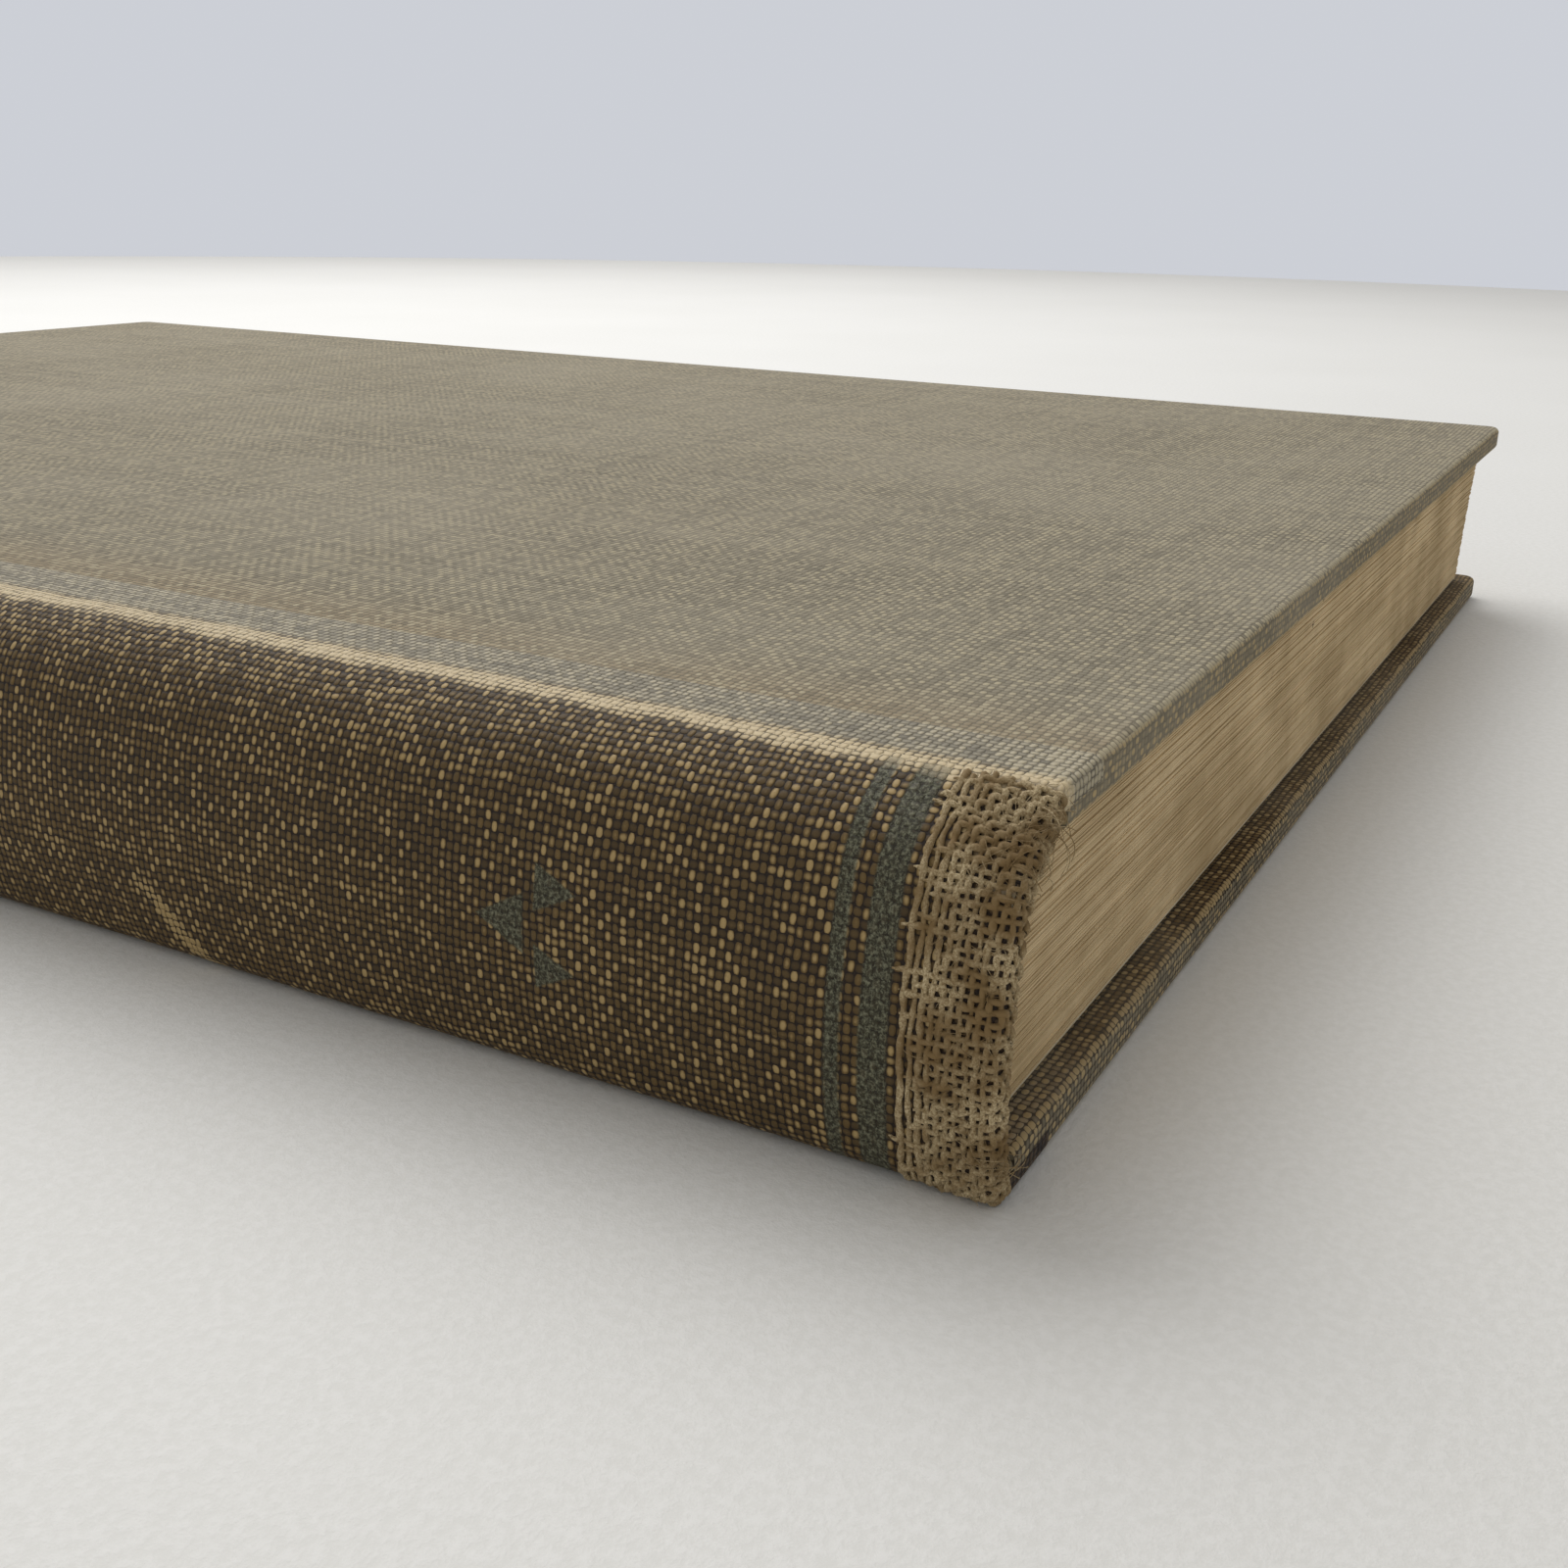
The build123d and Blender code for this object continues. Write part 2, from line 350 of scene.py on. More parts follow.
# the threads that run round the spine lie a little lower than those that run along it
height = calc(weave, "MULTIPLY", height, calc(weave, "MULTIPLY_ADD", turn_over, 0.35, 0.72))
luck = calc(weave, "MULTIPLY_ADD", calc(weave, "SUBTRACT", chance, 0.5), 0.75, height)
rubbed = ramp(weave, calc(weave, "ADD", luck, weave_in["Wear"]), 0.82, 1.3)
# painted shade: each thread's colour falls from its crown to the recess colour, and the lower threads round
# the spine are dimmed
brighter = calc(weave, "SUBTRACT", 1.0, weave_in["Cross Shade"])
dimmed = calc(weave, "MULTIPLY_ADD", turn_over, brighter, weave_in["Cross Shade"])
lit = calc(weave, "MULTIPLY", ramp(weave, height, 0.05, 0.75), dimmed)
shade = blend_colours(weave, lit, weave_in["Recess Colour"], weave_in["Thread Colour"])
tint = calc(weave, "MULTIPLY_ADD", chance, 0.35, calc(weave, "MULTIPLY_ADD", thread_chance, 0.3, 0.68))
shade = add_node(weave, "ShaderNodeVectorMath", {0: shade, 3: tint}, operation="SCALE").outputs[0]
final = blend_colours(weave, rubbed, shade, weave_in["Rubbed Colour"])
weave.links.new(final, weave_out.inputs["Color"])
weave.links.new(height, weave_out.inputs["Height"])
weave.links.new(rubbed, weave_out.inputs["Rubbed"])
print("weave group:", len(weave.nodes), "nodes")


# %% Material helper
def new_material(name):
    """An empty node material with its shader, ready for links."""
    material = bpy.data.materials.new(name)
    material.use_nodes = True
    tree = material.node_tree
    return material, tree, tree.nodes["Principled BSDF"].inputs


def finish_surface(tree, shader, colour, height, distance, roughness):
    """Link colour, roughness and relief to the shader."""
    tree.links.new(colour, shader["Base Color"])
    if isinstance(roughness, float):
        shader["Roughness"].default_value = roughness
    else:
        tree.links.new(roughness, shader["Roughness"])
    relief = add_node(tree, "ShaderNodeBump", {"Height": height, "Distance": distance, "Strength": 1.0})
    tree.links.new(relief.outputs[0], shader["Normal"])


def place_weave(tree, **values):
    """The weave group inside a material, with its own values."""
    made = add_node(tree, "ShaderNodeGroup", node_tree=weave)
    for key, value in values.items():
        socket = made.inputs[key.replace("_", " ").title()]
        if isinstance(value, bpy.types.NodeSocket):
            tree.links.new(value, socket)
        else:
            socket.default_value = value
    return made.outputs


# %% [markdown]
# ## Spine cloth
# The spine has kept its dark olive brown, but it is rubbed pale along the shoulder and at the foot.
# The pale line at the front joint is partly wear and partly a painted highlight, and under the bare
# threads at the foot the cloth is painted near black as shade.
# Two stamped bars and three small triangles, all plain and traditional, are worn to a grey green.
# They are drawn with distances on the thread coordinates, so they follow the curve of the spine.

# %% The spine's material
spine_dark, tree, shader = new_material("spine_cloth_worn")
threads = add_node(tree, "ShaderNodeUVMap", uv_map="threads").outputs[0]
where = add_node(tree, "ShaderNodeTexCoord").outputs["Object"]
round_and_along = add_node(tree, "ShaderNodeSeparateXYZ", {0: threads}).outputs
along = round_and_along[0]
from_tail = round_and_along[1]
patches = noise(tree, where, 75, 4, 0.6)
ragged_edge = calc(tree, "SUBTRACT", noise(tree, threads, 900, 3), 0.5)
ragged = calc(tree, "MULTIPLY_ADD", ragged_edge, 2.4 * MM, from_tail)
tail_wear = ramp(tree, ragged, 5.2 * MM, 1.6 * MM)
# a pale line along the front joint: partly wear, partly a painted highlight where the cloth turns onto the
# cover
ridge_waver = calc(tree, "SUBTRACT", noise(tree, where, 260, 3), 0.5)
ridge_place = calc(tree, "MULTIPLY_ADD", ridge_waver, 1.6 * MM, along)
ridge_far = calc(tree, "ABSOLUTE", calc(tree, "ADD", ridge_place, 0.3 * MM))
ridge_wear_and_highlight = ramp(tree, ridge_far, 1.5 * MM, 0.2 * MM)
# a slanting scar near the rear shoulder: first how far a point lies across it, then along it
scar_place = 54.4 * MM
scar_middle = -whole_run + 4.0 * MM
scar_line = calc(tree, "ADD", calc(tree, "MULTIPLY", from_tail, 0.78), calc(tree, "MULTIPLY", along, -0.62))
scar_far = calc(tree, "ABSOLUTE", calc(tree, "SUBTRACT", scar_line, scar_place))
scar = ramp(tree, calc(tree, "MULTIPLY_ADD", patches, 0.6 * MM, scar_far), 1.3 * MM, 0.5 * MM)
scar_span = calc(tree, "ABSOLUTE", calc(tree, "SUBTRACT", along, scar_middle))
scar = calc(tree, "MULTIPLY", scar, ramp(tree, scar_span, 3.6 * MM, 2.2 * MM))
upper = ramp(tree, along, -9 * MM, -1.5 * MM)
wear = calc(tree, "MULTIPLY_ADD", patches, 0.34, -0.12)
wear = calc(tree, "MULTIPLY_ADD", tail_wear, 0.5, wear)
wear = calc(tree, "MULTIPLY_ADD", ridge_wear_and_highlight, 0.8, wear)
wear = calc(tree, "MULTIPLY_ADD", upper, 0.16, wear)
wear = calc(tree, "MULTIPLY_ADD", scar, 0.9, wear)
on_cover = ramp(tree, along, 0.1 * MM, 1.2 * MM)
# painted shade: under the bare threads at the foot the cloth is painted near black, as the shade between them
shade_under_threads = ramp(tree, from_tail, 4.0 * MM, 2.0 * MM)
shade_under_threads = calc(tree, "MULTIPLY", shade_under_threads, ramp(tree, along, 0.1 * MM, -0.8 * MM))
body_colour = blend_colours(tree, patches, linear(96, 76, 40), linear(116, 95, 60))
cover_colour = linear(147, 139, 120)
cover_rubbed = linear(172, 161, 134)
# painted shade between the front cover's threads
cover_recess_shade = linear(112, 104, 86)
body_colour = blend_colours(tree, on_cover, body_colour, cover_colour)
rubbed_colour = blend_colours(tree, tail_wear, linear(168, 143, 96), linear(196, 177, 138))
rubbed_colour = blend_colours(tree, ridge_wear_and_highlight, rubbed_colour, linear(205, 186, 148))
rubbed_colour = blend_colours(tree, on_cover, rubbed_colour, cover_rubbed)
body_colour = blend_colours(tree, shade_under_threads, body_colour, linear(44, 30, 16))
rubbed_colour = blend_colours(tree, shade_under_threads, rubbed_colour, linear(70, 54, 34))
# painted shade between the threads: near black on the spine, grey on the front cover
recess_shade = blend_colours(tree, on_cover, linear(36, 24, 10), cover_recess_shade)
# the threads round the spine are painted darker as shade, less so on the cover
cross_shade = calc(tree, "MULTIPLY_ADD", on_cover, 0.32, 0.6)
woven = place_weave(tree, threads=threads, wear=wear, thread_colour=body_colour, rubbed_colour=rubbed_colour,
                    recess_colour=recess_shade, cross_shade=cross_shade)


def band(tree, value, low, high, soft=0.12 * MM):
    """1 between two values, with a soft edge."""
    rise = ramp(tree, value, low - soft, low + soft)
    fall = ramp(tree, value, high + soft, high - soft)
    return calc(tree, "MULTIPLY", rise, fall)


def triangle(tree, base_y, apex_y, foot, top):
    """1 inside a small triangle whose base lies across the spine."""
    middle = (foot + top) / 2
    half = (top - foot) / 2
    share = calc(tree, "DIVIDE", calc(tree, "SUBTRACT", from_tail, apex_y), base_y - apex_y)
    reach = calc(tree, "MULTIPLY", share, half)
    inside = calc(tree, "SUBTRACT", reach, calc(tree, "ABSOLUTE", calc(tree, "SUBTRACT", along, middle)))
    rows = band(tree, from_tail, min(base_y, apex_y), max(base_y, apex_y), 0.08 * MM)
    return calc(tree, "MULTIPLY", ramp(tree, inside, -0.08 * MM, 0.12 * MM), rows)


def height_to_along(height):
    """Distance round the spine of a height up the back."""
    rise = math.asin((height - belly_height) / back_radius)
    return -(front_run + back_radius * (front_turn - rise))


wide_bar = band(tree, from_tail, 5.6 * MM, 7.1 * MM)
narrow_bar = band(tree, from_tail, 8.1 * MM, 8.9 * MM)
bars = calc(tree, "MAXIMUM", wide_bar, narrow_bar)
bars = calc(tree, "MULTIPLY", bars, band(tree, along, -whole_run, -0.5 * MM, 0.3 * MM))
marks = [
    triangle(tree, 26.7 * MM, 29.8 * MM, height_to_along(7.6 * MM), height_to_along(11.1 * MM)),
    triangle(tree, 26.0 * MM, 23.3 * MM, height_to_along(10.2 * MM), height_to_along(12.9 * MM)),
    triangle(tree, 26.0 * MM, 23.4 * MM, height_to_along(5.8 * MM), height_to_along(8.4 * MM)),
]
stamped = bars
for mark in marks:
    stamped = calc(tree, "MAXIMUM", stamped, mark)
speckle = noise(tree, threads, 4200, 4, 0.75)
held = ramp(tree, calc(tree, "MULTIPLY_ADD", woven["Height"], 0.25, speckle), 0.42, 0.56)
stamped = calc(tree, "MULTIPLY", stamped, calc(tree, "MULTIPLY_ADD", held, 0.45, 0.5))
foil = blend_colours(tree, ramp(tree, speckle, 0.42, 0.68), linear(48, 46, 32), linear(124, 124, 102))
spine_colour = blend_colours(tree, stamped, woven["Color"], foil)
# the pale ridge line is laid on top: partly wear, partly a painted highlight
worn_line_and_highlight = calc(tree, "MULTIPLY", ridge_wear_and_highlight, calc(tree, "MULTIPLY_ADD", woven["Height"], 0.5, 0.22))
spine_colour = blend_colours(tree, worn_line_and_highlight, spine_colour, linear(196, 176, 138))
pressed = calc(tree, "MULTIPLY", woven["Height"], calc(tree, "MULTIPLY_ADD", stamped, -0.6, 1.0))
pressed = calc(tree, "MULTIPLY_ADD", speckle, calc(tree, "MULTIPLY", stamped, 0.5), pressed)
sheen = calc(tree, "MULTIPLY_ADD", woven["Rubbed"], -0.12, 0.72)
finish_surface(tree, shader, spine_colour, pressed, 0.16 * MM, sheen)
shader["Specular IOR Level"].default_value = 0.35
print("spine material:", len(tree.nodes), "nodes")

# %% [markdown]
# ## Cover cloth
# The covers have faded to a dusty grey olive. The same weave group does them, read from the object's
# own coordinates. On the boards' edges the pattern has to turn with the cloth, so the surface normal
# chooses which two of the three coordinates count.

# %% The covers' material
def cover_material(name, joint_x, phase, direction, thread, rubbed, recess_shade, wear_level):
    """Woven cover cloth whose threads carry on from the spine's."""
    material, tree, shader = new_material(name)
    where = add_node(tree, "ShaderNodeTexCoord").outputs["Object"]
    facing = add_node(tree, "ShaderNodeNewGeometry").outputs["True Normal"]
    place = add_node(tree, "ShaderNodeSeparateXYZ", {0: where}).outputs
    face = add_node(tree, "ShaderNodeSeparateXYZ", {0: facing}).outputs
    sideways = calc(tree, "ABSOLUTE", face[0])
    endways = calc(tree, "ABSOLUTE", face[1])
    upright = calc(tree, "ABSOLUTE", face[2])
    to_side = calc(tree, "GREATER_THAN", sideways, 0.72)
    to_end = calc(tree, "GREATER_THAN", endways, 0.72)
    first = calc(tree, "MULTIPLY_ADD", calc(tree, "SUBTRACT", place[2], place[0]), to_side, place[0])
    second = calc(tree, "MULTIPLY_ADD", calc(tree, "SUBTRACT", place[2], place[1]), to_end, place[1])
    first = calc(tree, "MULTIPLY_ADD", first, direction, phase - direction * joint_x)
    second = calc(tree, "SUBTRACT", second, tail_y)
    threads = add_node(tree, "ShaderNodeCombineXYZ", {0: first, 1: second}).outputs[0]
    # a rounded edge faces none of the three ways squarely, and that is where hands rub
    flatness = calc(tree, "MAXIMUM", upright, calc(tree, "MAXIMUM", sideways, endways))
    arris = ramp(tree, flatness, 0.995, 0.9)
    on_edge = ramp(tree, upright, 0.75, 0.3)
    cloud = noise(tree, where, 38, 4, 0.55)
    near_joint = ramp(tree, calc(tree, "SUBTRACT", place[0], joint_x), 15 * MM, 2 * MM)
    slub_place = add_node(tree, "ShaderNodeMapping", {0: threads, 3: (2100, 60, 1)}).outputs[0]
    cross_place = add_node(tree, "ShaderNodeMapping", {0: threads, 3: (45, 2200, 1)}).outputs[0]
    slub = ramp(tree, noise(tree, slub_place, 1.0, 1), 0.58, 0.8)
    cross_slub = ramp(tree, noise(tree, cross_place, 1.0, 1), 0.58, 0.8)
    slubs = calc(tree, "MAXIMUM", slub, cross_slub)
    wear = calc(tree, "MULTIPLY_ADD", cloud, 0.3, wear_level)
    wear = calc(tree, "MULTIPLY_ADD", arris, 0.45, wear)
    wear = calc(tree, "MULTIPLY_ADD", slubs, 0.2, wear)
    thread = blend_colours(tree, near_joint, thread, linear(150, 133, 106))
    thread = blend_colours(tree, on_edge, thread, linear(132, 122, 100))
    rubbed = blend_colours(tree, on_edge, rubbed, linear(176, 154, 112))
    # the recess colour is painted shade between the threads
    woven = place_weave(tree, threads=threads, wear=wear, thread_colour=thread, rubbed_colour=rubbed,
                        recess_colour=recess_shade, cross_shade=0.92)
    dusty = calc(tree, "MULTIPLY", ramp(tree, cloud, 0.35, 0.75), 0.3)
    dusted = blend_colours(tree, dusty, woven["Color"], linear(160, 152, 134))
    finish_surface(tree, shader, dusted, woven["Height"], 0.06 * MM, 0.85)
    shader["Specular IOR Level"].default_value = 0.25
    return material


# each cover's recess colour below is painted shade between its threads
front_cloth_material = cover_material(
    "front_cover_cloth_faded", front_joint_x, 0.0, 1.0,
    cover_colour, cover_rubbed, cover_recess_shade, -0.06,
)
back_cloth_material = cover_material(
    "back_cover_cloth_dark", back_joint_x, -whole_run, -1.0,
    linear(104, 84, 52), linear(160, 138, 98), linear(44, 32, 16), -0.02,
)

# %% [markdown]
# ## The joints
# Cloth crosses each joint. A hard edge there would show a gap as soon as a cover opened, so the spine
# is covered by two sheets, front and back. They meet in a seam low on the back, and each runs over its
# shoulder and a little way onto its cover.

# %% Two sheets round the spine
onto_cover = 5.0 * MM
seam_along = -(front_run + back_run * 0.62)


def spine_sheet(name, start, end, rows, columns=520):
    """A closed sheet of cloth between two distances round the spine, from tail to head."""
    along = np.linspace(start, end, rows)[:, None]
    ways = np.concatenate([
        np.linspace(0, fold_length, 10, endpoint=False),
        np.linspace(fold_length, 2 * half_length - fold_length, columns),
        np.linspace(2 * half_length - fold_length, 2 * half_length, 10)[1:],
    ])[None, :]
    outer = cloth_point(along, ways, 0.0)
    inner = cloth_point(along, ways, -cloth_thickness)
    # on the covers the sheet lies a hair proud of the cover's own cloth, so their faces don't coincide
    proud = np.clip(along / onto_cover, 0, 1) + np.clip((-whole_run - along) / onto_cover, 0, 1)
    direction = np.where(along > -whole_run / 2, 1.0, -1.0)
    outer[..., 2] += direction * (np.minimum(proud * 3, 1) * 0.02 * MM)
    end_side = np.where(ways > half_length, 1.0, -1.0) * (np.minimum(proud * 6, 1) * 0.03 * MM)
    outer[..., 1] += end_side
    inner[..., 1] += end_side
    points = np.stack([outer, inner])
    coordinates = np.broadcast_arrays(along, ways - fold_length + end_fold_radius)
    coordinates = np.stack(coordinates, axis=-1)
    return make_mesh(name, points, sheet_between(outer, inner), np.stack([coordinates, coordinates]))


front_sheet = spine_sheet("front_joint_cloth", onto_cover, seam_along, 84)
back_sheet = spine_sheet("back_joint_cloth", seam_along, -whole_run - onto_cover, 60)
for sheet in (front_sheet, back_sheet):
    sheet.data.materials.append(spine_dark)
    print(sheet.name, len(sheet.data.polygons), "faces")
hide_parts("spine_cloth")
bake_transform(front_sheet)
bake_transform(back_sheet)

# %% [markdown]
# ## The leaves
# A block of paper could be one box with lines painted on it. Trimmed leaves never line up perfectly,
# so here each group of leaves is a step of its own in the mesh, set back by up to a tenth of a
# millimetre, and the light finds the edges by itself.

# %% The block of leaves
block_low, block_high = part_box("text_block")
fly_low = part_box("front_flyleaf")[0]
leaf_top = fly_low[2]
leaf_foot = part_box("back_flyleaf")[1][2]
fore_top_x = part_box("front_flyleaf")[1][0]
fore_foot_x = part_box("back_flyleaf")[1][0]
leaf_groups = 118
fore_hollow = 0.7 * MM
case_depth = 2.6 * MM  # from the case's back in to the leaves
roughest_trim = 0.11 * MM
shoulder_foot = 1.7 * MM  # about where the front shoulder's arc meets the back's, above its centre
rng = np.random.default_rng(7)


def back_surface_x(height):
    """How far out the case's back stands at a height."""
    above = height - (thickness - front_shoulder_radius)
    if above > shoulder_foot:
        return front_joint_x - math.sqrt(front_shoulder_radius ** 2 - above ** 2)
    return back_centre_x - math.sqrt(back_radius ** 2 - (height - belly_height) ** 2)


def leaf_outline(share, setback, count_x=40, count_y=56):
    """Points round one level of the block, from the back of the spine along the tail."""
    height = leaf_foot + (leaf_top - leaf_foot) * share
    lean = fore_foot_x + (fore_top_x - fore_foot_x) * share
    fore = lean - fore_hollow * (1 - (2 * share - 1) ** 2) - setback
    back = back_surface_x(height) + case_depth
    tail, head = block_low[1] + setback, block_high[1] - setback
    xs = np.linspace(back, fore, count_x)
    ys = np.linspace(tail, head, count_y)
    ring = [(x, tail) for x in xs] + [(fore, y) for y in ys[1:]]
    ring += [(x, head) for x in xs[::-1][1:]] + [(back, y) for y in ys[::-1][1:-1]]
    ring = np.array(ring)
    wave = 0.05 * MM * (np.sin(ring[:, 0] * 70 + ring[:, 1] * 40) + 0.6 * np.sin(ring[:, 0] * 190 + 2))
    wave = wave * math.sin(math.pi * share)
    return np.column_stack([ring, np.full(len(ring), height) + wave])


levels = []
for group in range(leaf_groups):
    setback = (rng.random() ** 2) * roughest_trim
    low, high = group / leaf_groups, (group + 1) / leaf_groups
    trim = 0.16 / leaf_groups
    for share, extra in ((low, 0.05 * MM), (low + trim, 0.0), (high - trim, 0.0)):
        levels.append(leaf_outline(min(max(share, 0), 1), setback + extra))
levels = np.array(levels)
ring_size = levels.shape[1]
walls = []
for level in range(len(levels) - 1):
    base = level * ring_size
    here = np.arange(ring_size)
    after = (here + 1) % ring_size
    walls.append(np.stack([base + here, base + after, base + ring_size + after, base + ring_size + here], 1))
faces = np.concatenate(walls).tolist()
faces.append(list(range(ring_size))[::-1])
faces.append([(len(levels) - 1) * ring_size + i for i in range(ring_size)])


def ragged_mesh(name, points, faces):
    """A mesh whose faces don't all have as many corners."""
    mesh = bpy.data.meshes.new(name)
    mesh.from_pydata(points.reshape(-1, 3).tolist(), [], faces)
    mesh.validate()
    made = bpy.data.objects.new(name, mesh)
    bpy.context.scene.collection.objects.link(made)
    return made


leaves = ragged_mesh("leaf_block", levels, faces)
print("leaf block:", len(faces), "faces")

# %% [markdown]
# ## Paper
# Leaves, endpapers, linings and millboard are all paper, of different colours and ages. One function
# makes them all: streaks level with the leaves, soft toning, and foxing, which is a few brown spots
# with ragged rims.

# %% Paper materials
def paper_material(name, light, dark, streaky, spots):
    """Old paper: toned, with streaks along the leaves and a few brown specks."""
    material, tree, shader = new_material(name)
    where = add_node(tree, "ShaderNodeTexCoord").outputs["Object"]
    long_place = add_node(tree, "ShaderNodeMapping", {0: where, 3: (60, 60, 6500)}).outputs[0]
    fine = noise(tree, long_place, 1.0, 3, 0.7)
    cloud = noise(tree, where, 90, 4, 0.6)
    share = calc(tree, "MULTIPLY_ADD", calc(tree, "SUBTRACT", fine, 0.5), streaky, cloud)
    colour = blend_colours(tree, ramp(tree, share, 0.25, 0.8), dark, light)
    speck = add_node(tree, "ShaderNodeTexVoronoi", {"Vector": where, "Scale": 130.0, "Randomness": 1.0})
    rim = calc(tree, "MULTIPLY_ADD", noise(tree, where, 1400, 2), 0.1, speck.outputs["Distance"])
    damp_part = ramp(tree, noise(tree, where, 33, 1), 0.56, 0.6)
    foxed = calc(tree, "MULTIPLY", ramp(tree, rim, 0.13, 0.09), damp_part)
    colour = blend_colours(tree, calc(tree, "MULTIPLY", foxed, spots), colour, linear(74, 46, 30))
    finish_surface(tree, shader, colour, fine, 0.03 * MM, 0.9)
    shader["Specular IOR Level"].default_value = 0.2
    return material


leaf_material = paper_material("leaf_edges", linear(226, 204, 164), linear(184, 161, 122), 1.0, 0.9)
endpaper_material = paper_material("endpaper_toned", linear(216, 206, 182), linear(206, 194, 166), 0.1, 0.35)
lining_material = paper_material("lining_paper_brown", linear(150, 124, 88), linear(112, 88, 58), 0.2, 0.2)
board_material = paper_material("millboard_grey", linear(140, 128, 106), linear(112, 100, 80), 0.8, 0.1)
leaves.data.materials.append(leaf_material)
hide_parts("text_block")
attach(leaves, "root")

node_finish = {
    "front_cover_cloth": front_cloth_material,
    "back_cover_cloth": back_cloth_material,
    "front_board": board_material,
    "back_board": board_material,
    "spine_inlay": board_material,
    "front_pastedown": endpaper_material,
    "back_pastedown": endpaper_material,
    "front_flyleaf": endpaper_material,
    "back_flyleaf": endpaper_material,
    "spine_lining": lining_material,
    "spine_mull": lining_material,
    "front_mull_flange": lining_material,
    "back_mull_flange": lining_material,
}
for node_name, material in node_finish.items():
    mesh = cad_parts[node_name].data
    mesh.materials.clear()
    mesh.materials.append(material)

# %% [markdown]
# ## The worn foot of the spine
# Handling has rubbed the cloth's dressing off the last few millimetres, and every thread stands free.
# Bump can't show threads that cast shadows and break at the edge, so here they are real: one set of
# tubes runs along the book, the other round the spine, and each goes over and under the other.

# %% Tubes along paths
def tubes(name, paths, radii, sides=6):
    """One mesh of closed tubes, one for each path of points."""
    around = np.linspace(0, 2 * math.pi, sides, endpoint=False)
    points, faces, start = [], [], 0
    for path, radius in zip(paths, radii):
        tangent = np.gradient(path, axis=0)
        tangent /= np.linalg.norm(tangent, axis=1)[:, None]
        outward = np.tile([-1.0, 0.13, 0.2], (len(path), 1))
        side = np.cross(tangent, outward)
        side /= np.linalg.norm(side, axis=1)[:, None]
        lift = np.cross(side, tangent)
        width = np.broadcast_to(np.asarray(radius, float), len(path))[:, None, None]
        ring = side[:, None] * np.cos(around)[:, None] + lift[:, None] * np.sin(around)[:, None]
        points.append((path[:, None] + ring * width).reshape(-1, 3))
        row, column = np.meshgrid(np.arange(len(path) - 1), np.arange(sides), indexing="ij")
        here = start + row * sides + column
        after = start + row * sides + (column + 1) % sides
        quads = np.stack([here, after, after + sides, here + sides], axis=-1).reshape(-1, 4)
        faces.extend(quads[:, ::-1].tolist())
        last = start + (len(path) - 1) * sides
        faces.append(list(range(start, start + sides)))
        faces.append(list(range(last, last + sides))[::-1])
        start += len(path) * sides
    made = ragged_mesh(name, np.concatenate(points), faces)
    made.data.polygons.foreach_set("use_smooth", [True] * len(made.data.polygons))
    return made


# %% Threads that go over and under
thread_radius = 0.17 * MM
thread_wave = 0.1 * MM
worn_reach = 4.6 * MM
steps = 4


def frayed_radius(count, radius):
    """A thread's thickness, uneven and thin at its broken end."""
    uneven = radius * (1 + 0.16 * np.sin(np.arange(count) * rng.uniform(0.5, 0.9) + rng.uniform(0, 6)))
    return uneven * np.clip((count - np.arange(count)) / 5, 0.35, 1)


lanes_round = int((whole_run - 1.2 * MM) / thread_pitch_round)
lanes_along = int((worn_reach + fold_length) / thread_pitch_along)
paths, radii = [], []
for lane in range(lanes_round):
    reach = fold_length + worn_reach * rng.uniform(0.55, 1.12)
    count = int(reach / thread_pitch_along * steps)
    ways = np.linspace(0.1 * MM, reach, count)
    along = -(lane + 1.5) * thread_pitch_round + 0.05 * MM * np.sin(ways * 2300 + lane * 1.7)
    lift = thread_wave * np.cos(math.pi * (ways / thread_pitch_along + lane)) + 0.03 * MM
    paths.append(cloth_point(along, ways, lift))
    radii.append(frayed_radius(count, thread_radius * rng.uniform(0.85, 1.15)))
for lane in range(lanes_along):
    first, last = 0.5 * MM * rng.uniform(0.8, 2.5), whole_run - 0.5 * MM * rng.uniform(0.8, 2.5)
    count = int((last - first) / thread_pitch_round * steps)
    alongs = -np.linspace(first, last, count)
    way = (lane + 0.5) * thread_pitch_along + 0.05 * MM * np.sin(alongs * 1900 + lane * 2.1)
    lift = -thread_wave * np.cos(math.pi * (-alongs / thread_pitch_round - 1 + lane)) + 0.03 * MM
    lift = lift * (0.35 if lane > lanes_along - 4 else 1.0)
    paths.append(cloth_point(alongs, way, lift))
    radii.append(frayed_radius(count, thread_radius * rng.uniform(0.85, 1.15)))
bare_threads = tubes("bare_threads_tail", paths, radii)
print("bare threads:", len(paths), "threads,", len(bare_threads.data.polygons), "faces")

# %% [markdown]
# ## The bare threads' finish
# Threads without their dressing are pale and stained. A coarse noise stains them, and a fine one
# paints shade into the hollows between their fibres, the same noise that makes their bump.

# %% The bare threads' material
bare_material, tree, shader = new_material("bare_thread")
where = add_node(tree, "ShaderNodeTexCoord").outputs["Object"]
stain = noise(tree, where, 420, 3, 0.6)
fuzz = noise(tree, where, 9000, 3, 0.7)
bare_colour = blend_colours(tree, ramp(tree, stain, 0.34, 0.66), linear(122, 98, 62), linear(206, 188, 150))
# painted shade: where the fine noise is low, which the bump makes a hollow, the thread is painted darker
bare_colour = blend_colours(tree, ramp(tree, fuzz, 0.3, 0.7), linear(120, 98, 62), bare_colour)
finish_surface(tree, shader, bare_colour, fuzz, 0.03 * MM, 0.85)
bare_threads.data.materials.append(bare_material)
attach(bare_threads, "root")

# %% [markdown]
# ## Loose fibres
# Broken threads end in fluff. Placing each hair by hand would take all day, so Geometry Nodes scatter
# one curved hair over the worn foot, turn it at random, and hand back a plain mesh.

